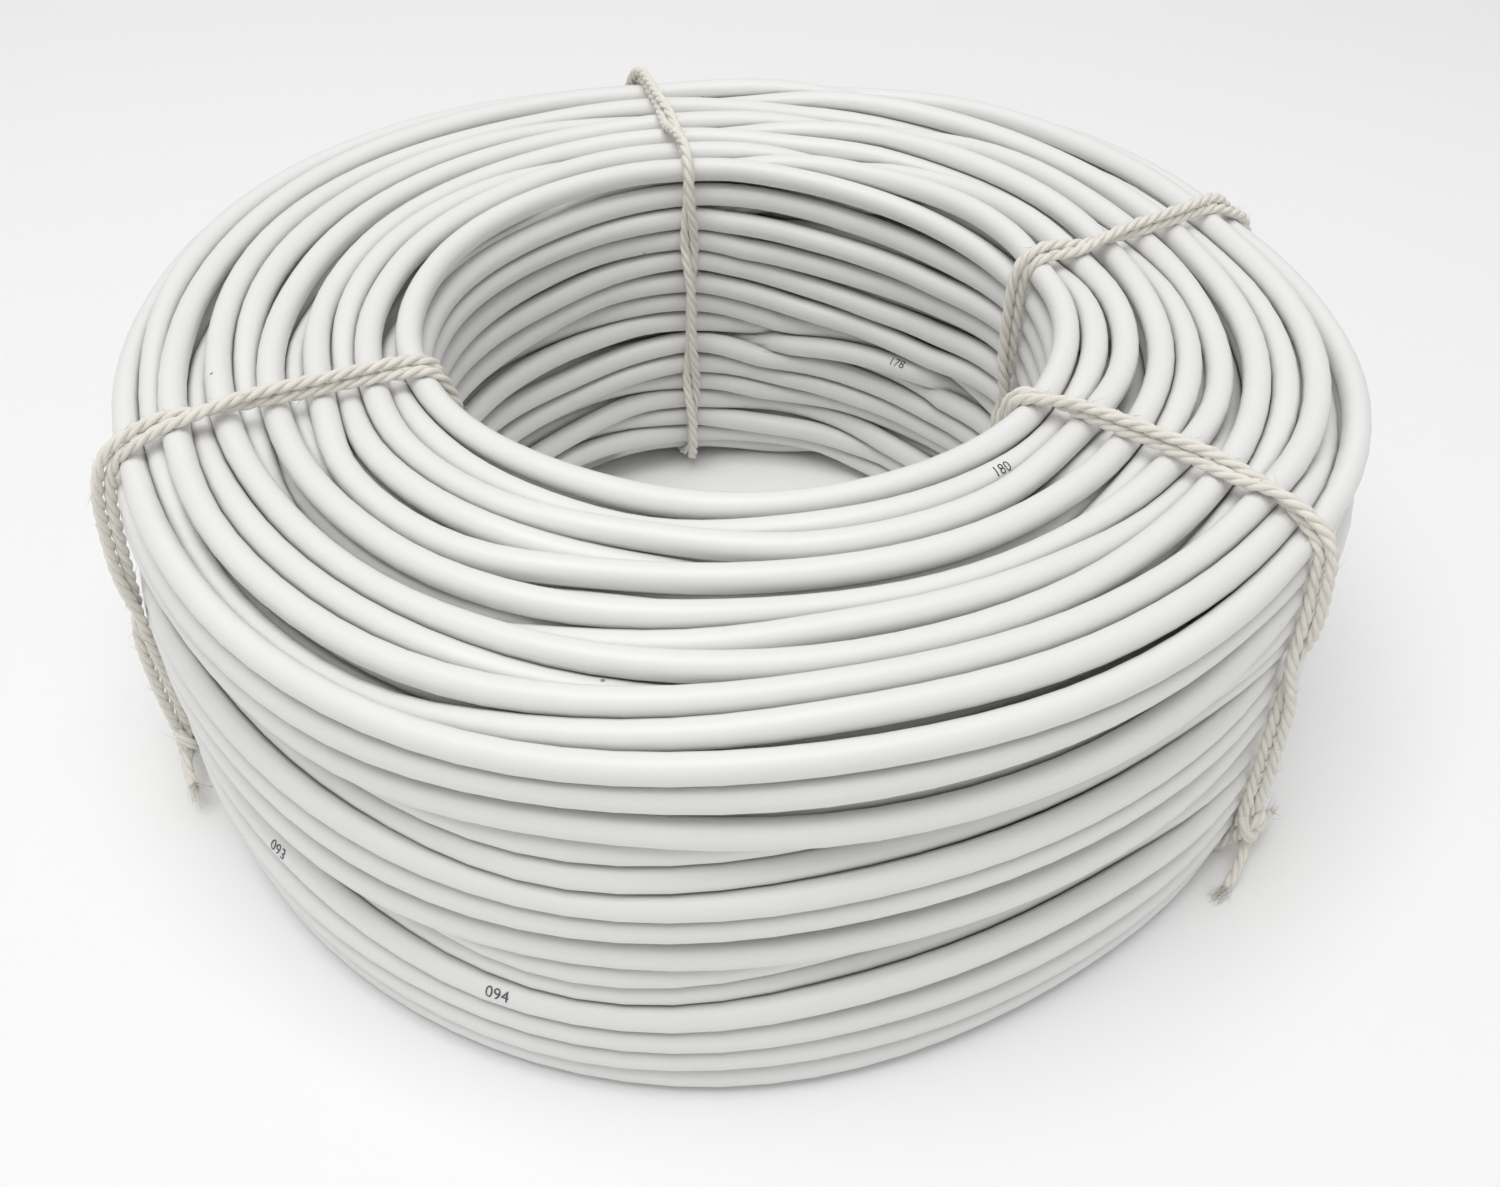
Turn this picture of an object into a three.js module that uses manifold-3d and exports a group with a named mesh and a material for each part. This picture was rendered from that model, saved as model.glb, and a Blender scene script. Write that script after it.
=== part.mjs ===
// A coil of white coaxial cable, wound without a drum and held by four ties of doubled twine.
// Millimetres, +Z up. The origin is on the coil's axis, on the surface that it lies on.
// The winding is one turned ring with its bore: its outline is a rounded rectangle of cable turns,
// so the turns show on both end faces, on the outside and in the bore.
import * as THREE from "three";
import { mergeVertices } from "three/addons/utils/BufferGeometryUtils.js";
import Module from "manifold-3d";

// Cable and winding
const CABLE_DIAMETER = 4.8;
const BORE_DIAMETER = 114;
const LAYER_COUNT = 13;
const ROW_COUNT = 15;
const LAYER_NESTING = 0.89; // distance between layers, as a share of the cable's diameter
const ROW_SPACING = 1.055; // distance between rows, as a share of it too
const INNER_CORNER_RADIUS = 4.5; // of the line through the outermost turns, at the bore
const OUTER_CORNER_RADIUS = 10.5; // of the same line, at the outside
const CREST_WIDTH = 1.9; // the flat that stands for a turn's round back
const GROOVE_DEPTH = 1.6; // between two turns
const RING_SEGMENTS = 32;

// Ties
const TWINE_DIAMETER = 2;
const TIE_CLEARANCE = 0.3; // between the twine and the turns that it holds
const CORNER_STEPS = 4;
const TIE_AZIMUTHS = { back: 110, left: 211, front: 332, right: 27 }; // degrees from +X, anticlockwise

// Knots, on the outside near the floor
const KNOT_HEIGHT = 9.5; // above the floor
const KNOT_LENGTH = 8; // along the tie
const KNOT_WIDTH = 7; // across the tie
const KNOT_THICKNESS = 5;
const KNOT_STANDOFF = 0.5; // from the loop's inner side to the knot's back
const KNOT_SIDES = 10;
const KNOT_TIERS = 6;
const KNOT_ENTRY = 0.8; // how far each end of the loop stops short of the knot's middle
const TAIL_LENGTH = 9; // from the knot's middle
const TAIL_SLANT = 62; // degrees away from the tie
const TAIL_DROP = 0.45; // where a tail leaves the knot, as a share of half the knot's length
const TAIL_SIDES = 8;

const MERGE_DISTANCE = 1e-4;

const JACKET_WHITE = 0xe4e4e1;
const TWINE_CREAM = 0xd8d2c2;

// Sizes that follow
const cableRadius = CABLE_DIAMETER / 2;
const layerPitch = CABLE_DIAMETER * LAYER_NESTING;
const innerLineRadius = BORE_DIAMETER / 2 + cableRadius;
const outerLineRadius = innerLineRadius + (LAYER_COUNT - 1) * layerPitch;
const lowestLine = TWINE_DIAMETER + TIE_CLEARANCE + cableRadius;
const highestLine = lowestLine + (ROW_COUNT - 1) * ROW_SPACING * CABLE_DIAMETER;

const wasm = await Module();
wasm.setup();

// A closed geometry as a manifold-3d solid.
function solidFrom(geometry) {
  const bare = geometry.index ? geometry.toNonIndexed() : geometry.clone();
  bare.deleteAttribute("normal");
  bare.deleteAttribute("uv");
  const merged = mergeVertices(bare, MERGE_DISTANCE);
  return new wasm.Manifold(
    new wasm.Mesh({
      numProp: 3,
      vertProperties: merged.getAttribute("position").array,
      triVerts: new Uint32Array(merged.index.array),
    }),
  );
}

// A manifold-3d solid as a flat-shaded geometry.
function geometryFrom(solid) {
  const mesh = solid.getMesh();
  const geometry = new THREE.BufferGeometry();
  geometry.setAttribute("position", new THREE.BufferAttribute(mesh.vertProperties, 3));
  geometry.setIndex(new THREE.BufferAttribute(mesh.triVerts, 1));
  const faceted = geometry.toNonIndexed();
  faceted.computeVertexNormals();
  return faceted;
}

// The rounded rectangle that lies a given distance outside the line through the outermost turns.
// It runs anticlockwise in (radius, height), from the middle of the outside. Its bore side can
// stand further in, where the turned ring's flats come closer to the axis than its round.
function sectionLine(distance, boreFacetDepth = 0) {
  const inner = innerLineRadius - distance - boreFacetDepth;
  const outer = outerLineRadius + distance;
  const low = lowestLine - distance;
  const high = highestLine + distance;
  const innerCorner = INNER_CORNER_RADIUS + distance;
  const outerCorner = OUTER_CORNER_RADIUS + distance;
  const line = new THREE.Path();
  line.moveTo(outer, (low + high) / 2);
  line.lineTo(outer, high - outerCorner);
  line.absarc(outer - outerCorner, high - outerCorner, outerCorner, 0, Math.PI / 2);
  line.lineTo(inner + innerCorner, high);
  line.absarc(inner + innerCorner, high - innerCorner, innerCorner, Math.PI / 2, Math.PI);
  line.lineTo(inner, low + innerCorner);
  line.absarc(inner + innerCorner, low + innerCorner, innerCorner, Math.PI, 1.5 * Math.PI);
  line.lineTo(outer - outerCorner, low);
  line.absarc(outer - outerCorner, low + outerCorner, outerCorner, 1.5 * Math.PI, 2 * Math.PI);
  line.lineTo(outer, (low + high) / 2);
  return line;
}

// The winding's outline: a flat crest for each outermost turn, and a groove between turns.
function windingOutline() {
  const line = sectionLine(0);
  const meanPitch = (ROW_SPACING * CABLE_DIAMETER + layerPitch) / 2;
  const turnCount = Math.round(line.getLength() / meanPitch);
  const outline = [];
  const place = (share, along, outward) => {
    const middle = line.getPointAt(share);
    const ahead = line.getTangentAt(share);
    const x = middle.x + ahead.x * along + ahead.y * outward;
    const y = middle.y + ahead.y * along - ahead.x * outward;
    outline.push(new THREE.Vector2(x, y));
  };
  for (let turn = 0; turn < turnCount; turn += 1) {
    place((turn + 0.5) / turnCount, -CREST_WIDTH / 2, cableRadius);
    place((turn + 0.5) / turnCount, CREST_WIDTH / 2, cableRadius);
    place((turn + 1) / turnCount, 0, cableRadius - GROOVE_DEPTH);
  }
  outline.push(outline[0].clone());
  return outline;
}

// The wound cable, turned about the coil's axis.
function makeWinding() {
  const ring = new THREE.LatheGeometry(windingOutline(), RING_SEGMENTS);
  ring.rotateX(Math.PI / 2);
  return ring;
}

// The route of a tie's loop in its upright plane, with steps only where it turns.
class TieRoute extends THREE.Curve {
  constructor() {
    super();
    const boreFacetDepth = (BORE_DIAMETER / 2) * (1 - Math.cos(Math.PI / RING_SEGMENTS));
    const line = sectionLine(cableRadius + TIE_CLEARANCE + TWINE_DIAMETER / 2, boreFacetDepth);
    const outside = line.getPoint(0).x;
    this.stations = [new THREE.Vector2(outside, KNOT_HEIGHT + KNOT_ENTRY)];
    for (const corner of line.curves.filter((piece) => piece.isEllipseCurve)) {
      this.stations.push(...corner.getPoints(CORNER_STEPS));
    }
    this.stations.push(new THREE.Vector2(outside, KNOT_HEIGHT - KNOT_ENTRY));
  }

  get steps() {
    return this.stations.length - 1;
  }

  getPointAt(share) {
    const { x, y } = this.stations[Math.round(share * this.steps)];
    return new THREE.Vector3(x, 0, y);
  }

  getTangentAt(share) {
    const here = Math.round(share * this.steps);
    const before = this.stations[Math.max(here - 1, 0)];
    const at = this.stations[here];
    const after = this.stations[Math.min(here + 1, this.steps)];
    const arriving = at.clone().sub(before).normalize();
    const leaving = after.clone().sub(at).normalize();
    const { x, y } = arriving.add(leaving).normalize();
    return new THREE.Vector3(x, 0, y);
  }
}

// The section of two twines side by side: two octagons that share one side.
function doubledTwineSection() {
  const half = TWINE_DIAMETER / 2;
  const side = half * Math.tan(Math.PI / 8);
  const oneTwine = [
    [side - half, -half],
    [-side - half, -half],
    [-2 * half, -side],
    [-2 * half, side],
    [-side - half, half],
    [side - half, half],
    [0, side],
  ];
  const otherTwine = oneTwine.map(([x, y]) => [-x, -y]);
  return new THREE.Shape([...oneTwine, ...otherTwine].map(([x, y]) => new THREE.Vector2(x, y)));
}

// A cut end of twine from one point to another.
function twineEnd(from, to) {
  const radius = TWINE_DIAMETER / 2;
  const rod = new THREE.CylinderGeometry(radius, radius, from.distanceTo(to), TAIL_SIDES);
  const ahead = to.clone().sub(from).normalize();
  rod.applyQuaternion(new THREE.Quaternion().setFromUnitVectors(new THREE.Vector3(0, 1, 0), ahead));
  const middle = from.clone().add(to).multiplyScalar(0.5);
  rod.translate(middle.x, middle.y, middle.z);
  return rod;
}

// One tie: its loop, its knot and its two cut ends, in the upright plane through +X.
function makeTie() {
  const route = new TieRoute();
  const loop = new THREE.ExtrudeGeometry(doubledTwineSection(), {
    steps: route.steps,
    extrudePath: route,
    bevelEnabled: false,
  });
  const seat = outerLineRadius + cableRadius + TIE_CLEARANCE;
  const knot = new THREE.SphereGeometry(0.5, KNOT_SIDES, KNOT_TIERS);
  knot.rotateX(Math.PI / 2);
  knot.scale(KNOT_THICKNESS, KNOT_WIDTH, KNOT_LENGTH);
  const middle = new THREE.Vector3(seat + KNOT_STANDOFF + KNOT_THICKNESS / 2, 0, KNOT_HEIGHT);
  knot.translate(middle.x, middle.y, middle.z);
  let tie = solidFrom(loop).add(solidFrom(knot));
  const slant = THREE.MathUtils.degToRad(TAIL_SLANT);
  for (const side of [-1, 1]) {
    const exit = middle.clone();
    exit.x = seat + 1.5 * TWINE_DIAMETER + TIE_CLEARANCE; // just outside the loop
    exit.z += (side * TAIL_DROP * KNOT_LENGTH) / 2;
    const reach = new THREE.Vector3(0, side * Math.sin(slant), side * Math.cos(slant));
    tie = tie.add(solidFrom(twineEnd(exit, exit.clone().addScaledVector(reach, TAIL_LENGTH))));
  }
  return geometryFrom(tie);
}

const jacket = new THREE.MeshStandardMaterial({ color: JACKET_WHITE, roughness: 0.45, metalness: 0 });
const twine = new THREE.MeshStandardMaterial({ color: TWINE_CREAM, roughness: 0.85, metalness: 0 });

const coil = new THREE.Group();

const winding = new THREE.Mesh(makeWinding(), jacket);
winding.name = "cable_coil";
coil.add(winding);

const tieGeometry = makeTie();
for (const [place, azimuth] of Object.entries(TIE_AZIMUTHS)) {
  const tie = new THREE.Mesh(tieGeometry, twine);
  tie.name = `twine_tie_${place}`;
  tie.rotation.z = THREE.MathUtils.degToRad(azimuth);
  coil.add(tie);
}

export default coil;
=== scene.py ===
"""The looks of a drumless coil of white coaxial cable, held by four ties of doubled twine.

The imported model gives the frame. Everything here is in metres, +Z up, with the origin on the coil's
axis at floor level. Azimuths run anticlockwise from +X, seen from above, in degrees. A place in the
winding's section is given by two shares: across, from the bore to the outside, and up, from the
lowest row to the highest.
"""

import logging
import math
from dataclasses import dataclass, field
from enum import Enum

import bpy
import numpy as np
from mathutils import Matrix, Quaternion, Vector


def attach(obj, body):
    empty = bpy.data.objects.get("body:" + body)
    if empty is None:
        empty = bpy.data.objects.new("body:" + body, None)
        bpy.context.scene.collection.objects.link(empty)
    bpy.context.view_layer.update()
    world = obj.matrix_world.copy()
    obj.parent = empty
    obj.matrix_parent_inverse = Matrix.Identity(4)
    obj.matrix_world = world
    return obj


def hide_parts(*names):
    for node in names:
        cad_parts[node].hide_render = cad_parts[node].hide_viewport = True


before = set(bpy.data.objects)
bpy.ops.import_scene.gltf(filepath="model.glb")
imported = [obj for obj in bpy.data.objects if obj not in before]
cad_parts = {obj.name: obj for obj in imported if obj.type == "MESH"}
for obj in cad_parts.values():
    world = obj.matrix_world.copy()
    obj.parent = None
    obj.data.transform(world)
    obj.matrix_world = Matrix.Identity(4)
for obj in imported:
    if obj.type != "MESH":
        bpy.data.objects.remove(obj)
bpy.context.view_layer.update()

PHOTO_WIDTH, PHOTO_HEIGHT = 1500, 1187
LOG = logging.getLogger("coil")
TINY = 1e-12
UPWARDS = np.array([0.0, 0.0, 1.0])


class Slot(Enum):
    """Two material slot names, which nothing here uses."""

    JACKET = "jacket"
    TWINE = "twine"


class Face(Enum):
    """A face of the winding, by the field of a stretch that rules its turns."""

    TOP = "risen"
    OUTSIDE = "sunk"
    BORE = "sunk_in_bore"


def angle_between(azimuth: np.ndarray, other: np.ndarray | float) -> np.ndarray:
    """Signed difference of two azimuths, from -180 to 180 degrees."""
    return (azimuth - other + 180.0) % 360.0 - 180.0


def dome(away: np.ndarray) -> np.ndarray:
    """A smooth hump: 1 where away is 0, and 0 from 1 on."""
    return np.cos(0.5 * np.pi * np.clip(np.abs(away), 0.0, 1.0)) ** 2


def unit(vectors: np.ndarray) -> np.ndarray:
    """Vectors scaled to length 1."""
    return vectors / np.maximum(np.linalg.norm(vectors, axis=-1, keepdims=True), TINY)


def run_length(line: np.ndarray) -> np.ndarray:
    """How far along a line each of its points lies."""
    return np.concatenate([[0.0], np.cumsum(np.linalg.norm(np.diff(line, axis=0), axis=1))])


def in_space(section: np.ndarray, azimuth: np.ndarray) -> np.ndarray:
    """Points in space from radii and heights, and azimuths in radians."""
    radius, height = section[..., 0], section[..., 1]
    return np.stack([radius * np.cos(azimuth), radius * np.sin(azimuth), height], -1)


def axes_across(line: np.ndarray, aside: np.ndarray) -> tuple[np.ndarray, np.ndarray]:
    """Two directions across a line at each of its points, square to it and to each other.

    Args:
        line: The line's points.
        aside: About the first direction, at each point or one for all.

    Returns:
        The first and the second direction.
    """
    ahead = unit(np.gradient(line, axis=0))
    side = unit(aside - (aside * ahead).sum(-1, keepdims=True) * ahead)
    return side, np.cross(side, ahead)


@dataclass(frozen=True)
class TieSite:
    """Where one tie crosses the winding.

    Args:
        name: The tie's place on the coil.
        outside: Azimuth where it runs down the outside.
        bore: Azimuth where it runs down the bore.
        twist_length: Metres of tie for one full twist of its two runs about each other.
        twist_start: Degrees of twist where the tie begins, at the foot of the outside.
    """

    name: str
    outside: float
    bore: float
    twist_length: float
    twist_start: float

    @property
    def node(self) -> str:
        """The frame's node that the tie replaces."""
        return f"twine_tie_{self.name}"

    def azimuth_at(self, share: np.ndarray) -> np.ndarray:
        """Azimuth at a share of the way from the bore to the outside."""
        return self.bore + (self.outside - self.bore) * np.clip(share, 0.0, 1.0)


TIE_SITES = (
    TieSite("back", 110.5, 108.0, 0.070, 20.0),
    TieSite("left", 210.5, 212.0, 0.090, 50.0),
    TieSite("front", 331.5, 333.5, 0.078, 0.0),
    TieSite("right", 30.0, 21.5, 0.084, 70.0),
)


@dataclass(frozen=True)
class Swell:
    """How far the winding swells between two ties.

    Args:
        azimuth: Its middle.
        half_width: Degrees from its middle to where it has died out.
        shoulder: Metres outwards at the top of the outside.
        foot: Metres outwards at the foot of the outside.
        belly: Metres further outwards at half height.
        sag: Metres down at the outside.
    """

    azimuth: float
    half_width: float
    shoulder: float
    foot: float
    belly: float = 0.0
    sag: float = 0.0


@dataclass(frozen=True)
class Stretch:
    """A stretch between ties, where some surface turns rise and others sink among their neighbours.

    Args:
        azimuth: Its middle.
        half_width: Degrees from its middle to its ends.
        risen: Layers of the lower top turns that come up level with the others.
        sunk: Rows of the outside that sink.
        sunk_in_bore: Rows of the bore that sink.
        evenness: How level the stretch is: 1 for a hump, more for a longer level middle.
    """

    azimuth: float
    half_width: float
    risen: tuple[int, ...]
    sunk: tuple[int, ...]
    sunk_in_bore: tuple[int, ...]
    evenness: float = 1.6

    def strength(self, azimuth: np.ndarray) -> np.ndarray:
        """How much of the stretch's unevenness shows, level over most of its length."""
        return np.minimum(self.evenness * dome(angle_between(azimuth, self.azimuth) / self.half_width), 1.0)


@dataclass(frozen=True)
class Nudge:
    """A place where some turns stray from their slots.

    Args:
        azimuth: Its middle.
        half_width: Degrees from its middle to its ends.
        across: Its place in the section, from the bore to the outside.
        up: Its place in the section, from the lowest row to the highest.
        reach: Metres over which it acts in the section.
        outwards: Metres that the turns move away from the axis.
        upwards: Metres that they move up.
        parts: Whether turns on the far side of it move the other way, which opens a gap.
    """

    azimuth: float
    half_width: float
    across: float
    up: float
    reach: float
    outwards: float
    upwards: float
    parts: bool = False


STRETCHES = (
    Stretch(236.0, 30.0, (1, 3, 9), (10, 9, 5, 4), (6, 4, 2)),
    Stretch(299.0, 36.0, (1, 7, 11), (10, 9, 5, 4), (11, 7, 3)),
    Stretch(0.0, 30.0, (1, 5, 9), (11, 8, 5), (9, 5, 2)),
    Stretch(68.0, 42.0, (1, 5, 9), (10, 7, 4), (7, 5, 3, 1)),
    Stretch(160.0, 50.0, (3, 7, 11), (11, 8, 5, 2), (8, 4, 2)),
)

NUDGES = (
    Nudge(243.0, 20.0, 0.88, 1.0, 0.0050, -0.0016, 0.0, parts=True),
    Nudge(230.0, 16.0, 0.97, 0.97, 0.0045, -0.0016, 0.0, parts=True),
    Nudge(7.0, 19.0, 0.55, 1.0, 0.0045, 0.0015, 0.0, parts=True),
    Nudge(268.0, 30.0, 1.0, 0.045, 0.0055, 0.0, 0.0014, parts=True),
    Nudge(128.0, 34.0, 0.0, 0.55, 0.0060, 0.0, 0.0013, parts=True),
    Nudge(122.0, 20.0, 0.0, 0.10, 0.0050, -0.0016, 0.0030),
    Nudge(72.0, 20.0, 0.0, 0.40, 0.0050, 0.0, 0.0016, parts=True),
    Nudge(66.0, 26.0, 0.0, 0.17, 0.0050, -0.0012, 0.0018, parts=True),
)


@dataclass(frozen=True)
class WindingShape:
    """The winding's sizes and how its section changes around the coil."""

    cable_diameter: float = 0.0048
    bore_radius: float = 0.0569
    outer_radius: float = 0.1105  # at the ties
    top: float = 0.0778
    thickness: float = 0.056  # about, from the bore to the outside
    foot_at_ties: float = 0.0021  # of the lowest turns, above the floor
    foot_between: float = 0.0004
    tie_pinch: float = 5.5  # degrees over which a tie's hold dies out
    layers: int = 13
    rows: int = 15
    surface_depth: float = 0.8  # rows from the first or last one within which a turn shows
    left_out: float = 0.07  # share of the inner slots that stay empty
    room_behind_outside: tuple[float, ...] = (4.5, 5.5, 8.5, 9.5)  # rows left empty one layer further in
    crowding: float = 0.55  # the room that a turn sinking in a wall gives up
    crowding_on_top: float = 0.9
    sink: float = 0.0040  # how deep it sinks
    sink_on_top: float = 0.0043
    core_firmness: float = 0.12  # of inner turns, against 1 for those that show
    outer_corner: float = 0.0085
    foot_rounding: float = 0.45  # of the corner at the foot, as a share of the outer corner
    stations: int = 96  # points a turn
    first_azimuth: float = 126.0  # where each turn starts
    steady: float = 0.70  # share of a turn before it crosses to the next slot
    parting: float = 0.4  # diameters from a gap's middle to where turns have moved by most of a nudge
    seed: int = 5
    swells: tuple[Swell, ...] = (
        Swell(248.0, 46.0, 0.0034, 0.0, sag=0.0030),
        Swell(268.0, 58.0, 0.0012, 0.0068, sag=0.0010),
        Swell(302.0, 32.0, 0.0010, -0.0018),
        Swell(206.0, 30.0, 0.0005, -0.0010, belly=0.0034),
        Swell(161.0, 44.0, 0.0036, 0.0022),
        Swell(58.0, 38.0, 0.0032, 0.0014, sag=0.0008),
        Swell(355.0, 30.0, 0.0026, 0.0028, sag=0.0004),
        Swell(100.0, 24.0, -0.0016, -0.0010),
    )
    stretches: tuple[Stretch, ...] = STRETCHES
    nudges: tuple[Nudge, ...] = NUDGES

    @property
    def cable_radius(self) -> float:
        """Half the cable's diameter."""
        return self.cable_diameter / 2

    @property
    def inner_line(self) -> float:
        """Radius of the innermost turns' centre line."""
        return self.bore_radius + self.cable_radius

    def across_at(self, radius: np.ndarray) -> np.ndarray:
        """About the share of the way from the bore to the outside at a radius."""
        return (radius - self.bore_radius) / self.thickness

    def held(self, azimuth: np.ndarray, across: np.ndarray) -> np.ndarray:
        """How firmly the ties hold a place, from 0 to 1.

        Args:
            azimuth: Azimuths in degrees.
            across: Shares of the way from the bore to the outside.

        Returns:
            The hold at each place.
        """
        hold = np.zeros(np.broadcast(azimuth, across).shape)
        for site in TIE_SITES:
            away = angle_between(azimuth, site.azimuth_at(across))
            hold = np.maximum(hold, np.exp(-((away / self.tie_pinch) ** 2)))
        return hold

    def outer_line(self, azimuth: np.ndarray, up: np.ndarray) -> np.ndarray:
        """Radius of the outermost turns' centre line.

        Args:
            azimuth: Azimuths in degrees.
            up: Shares of the way from the lowest row to the highest.

        Returns:
            The radius at each place.
        """
        radius = self.outer_radius - self.cable_radius + 0.0 * azimuth * up
        for swell in self.swells:
            strength = dome(angle_between(azimuth, swell.azimuth) / swell.half_width)
            outwards = swell.foot + (swell.shoulder - swell.foot) * up + 4 * swell.belly * up * (1 - up)
            radius = radius + strength * outwards
        return radius

    def sag(self, azimuth: np.ndarray, across: np.ndarray) -> np.ndarray:
        """How far the rows hang down at a place.

        Args:
            azimuth: Azimuths in degrees.
            across: Shares of the way from the bore to the outside.

        Returns:
            Metres at each place.
        """
        total = 0.0 * azimuth * across
        for swell in self.swells:
            total = total + swell.sag * dome(angle_between(azimuth, swell.azimuth) / swell.half_width)
        return total * across**2

    def low_line(self, azimuth: np.ndarray, across: np.ndarray) -> np.ndarray:
        """Height of the lowest turns' centre line."""
        hold = self.held(azimuth, across)
        return self.cable_radius + self.foot_between + (self.foot_at_ties - self.foot_between) * hold

    def is_room(self, layer: int, row: float) -> bool:
        """Whether a slot stays empty, as room for surface turns that sink."""
        below_top = layer % 2 == 1 and row == self.rows - 2.5
        return below_top or (layer == self.layers - 2 and row in self.room_behind_outside)

    def slots(self) -> np.ndarray:
        """The winding order as slots in the section.

        Returns:
            One row a turn: its layer from the bore, and its row from the floor, half a row up in odd layers.
            The last row is no turn, but the place under the outermost turns where the cable's end is tucked.
        """
        rng = np.random.default_rng(self.seed)
        last_layer, last_row = self.layers - 1, self.rows - 1
        depth = self.surface_depth
        ordered = []
        for layer in range(self.layers):
            odd = layer % 2
            rows = [row + 0.5 * odd for row in range(self.rows - odd)]
            if odd:
                rows.reverse()
            for row in rows:
                inside = 0 < layer < last_layer and depth < row < last_row - depth
                shoulder = layer == last_layer and row > last_row - depth
                if shoulder or self.is_room(layer, row) or (inside and rng.random() < self.left_out):
                    continue
                ordered.append((layer, row))
        ordered.append((last_layer - 1, last_row - 1.5))
        return np.array(ordered, float)

    def spread(self, room: np.ndarray) -> np.ndarray:
        """Shares of the way along a face for turns that take up unequal room.

        Args:
            room: The room that each turn takes, turns first.

        Returns:
            Shares from 0 at the first turn to 1 at the last.
        """
        steps = (room[1:] + room[:-1]) / 2
        ahead = np.concatenate([np.zeros_like(steps[:1]), np.cumsum(steps, axis=0)])
        return ahead / ahead[-1]

    def lay_face(self, slots: np.ndarray, azimuth: np.ndarray, face: Face) -> tuple[np.ndarray, np.ndarray]:
        """How the turns of one face lie among each other.

        Args:
            slots: The face's slots, in order along it.
            azimuth: Azimuths of the stations.
            face: Which face it is.

        Returns:
            Shares along the face and metres of sinking, turns first and stations second.
        """
        on_top = face is Face.TOP
        sunk = np.zeros((len(slots), len(azimuth)))
        for stretch in self.stretches:
            chosen = getattr(stretch, face.value)
            for index, (layer, row) in enumerate(slots):
                sinks = layer % 2 == 1 and layer not in chosen if on_top else int(row) in chosen
                sunk[index] += stretch.strength(azimuth) * sinks
        crowding = self.crowding_on_top if on_top else self.crowding
        return self.spread(1 - crowding * sunk), (self.sink_on_top if on_top else self.sink) * sunk

    def slot_places(self, azimuth: np.ndarray) -> np.ndarray:
        """Radius and height of every slot at every station.

        Args:
            azimuth: Azimuths of the stations.

        Returns:
            Radii and heights: turns, stations, 2.
        """
        slots = self.slots()
        layer, row = slots[:, :1], slots[:, 1:]
        last_layer, last_row = self.layers - 1, self.rows - 1
        across = np.repeat(layer / last_layer, len(azimuth), axis=1)
        up = np.repeat(row / last_row, len(azimuth), axis=1)
        drop = np.zeros_like(across)
        back = np.zeros_like(across)
        on_top = np.nonzero(slots[:, 1] > last_row - self.surface_depth)[0]
        on_top = on_top[np.argsort(slots[on_top, 0])]
        shares, sunk = self.lay_face(slots[on_top], azimuth, Face.TOP)
        reach = slots[on_top[-1], 0] / last_layer
        across[on_top] = shares * reach
        between = sum(stretch.strength(azimuth) for stretch in self.stretches)
        level = (slots[on_top, 1:] < last_row) * np.clip(between, 0, 1) * (sunk <= 0.5 * self.sink_on_top)
        half_row = 0.5 / last_row * (self.top - self.cable_diameter)
        drop[on_top] = sunk - half_row * level
        for wall, face in ((last_layer, Face.OUTSIDE), (0, Face.BORE)):
            there = np.nonzero(slots[:, 0] == wall)[0]
            there = there[np.argsort(slots[there, 1])]
            shares, sunk = self.lay_face(slots[there], azimuth, face)
            up[there] = shares * min(slots[there[-1], 1] + 0.5, last_row) / last_row
            back[there] = sunk if wall else -sunk
        outer = self.outer_line(azimuth[None, :], up)
        low = self.low_line(azimuth[None, :], across)
        high = self.top - self.cable_radius
        radius = self.inner_line + (outer - self.inner_line) * across - back
        height = low + (high - low) * up - self.sag(azimuth[None, :], across) * np.minimum(up * 3, 1)
        return np.stack([radius, height - drop], -1)

    def middle_of(self, nudge: Nudge) -> np.ndarray:
        """Radius and height of a nudge's place.

        Args:
            nudge: The nudge.

        Returns:
            The two values.
        """
        azimuth, up = np.array(nudge.azimuth), np.array(nudge.up)
        radius = self.inner_line + (self.outer_line(azimuth, up) - self.inner_line) * nudge.across
        low = self.cable_radius + self.foot_between
        height = low + (self.top - self.cable_radius - low) * nudge.up
        sag = self.sag(azimuth, np.array(nudge.across)) * min(3 * nudge.up, 1)
        return np.array([float(radius), float(height - sag)])

    def nudged(self, places: np.ndarray, azimuth: np.ndarray) -> np.ndarray:
        """Places moved by the nudges.

        Args:
            places: Radii and heights.
            azimuth: Azimuths of the stations.

        Returns:
            The moved places.
        """
        moved = places.copy()
        for nudge in self.nudges:
            offset = places - self.middle_of(nudge)
            direction = np.array([nudge.outwards, nudge.upwards])
            strength = np.exp(-(offset**2).sum(-1) / nudge.reach**2)
            strength = strength * dome(angle_between(azimuth, nudge.azimuth) / nudge.half_width)
            if nudge.parts:
                along = offset @ (direction / np.linalg.norm(direction))
                strength = strength * np.tanh(along / (self.parting * self.cable_diameter))
            moved = moved + strength[..., None] * direction
        return moved


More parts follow.
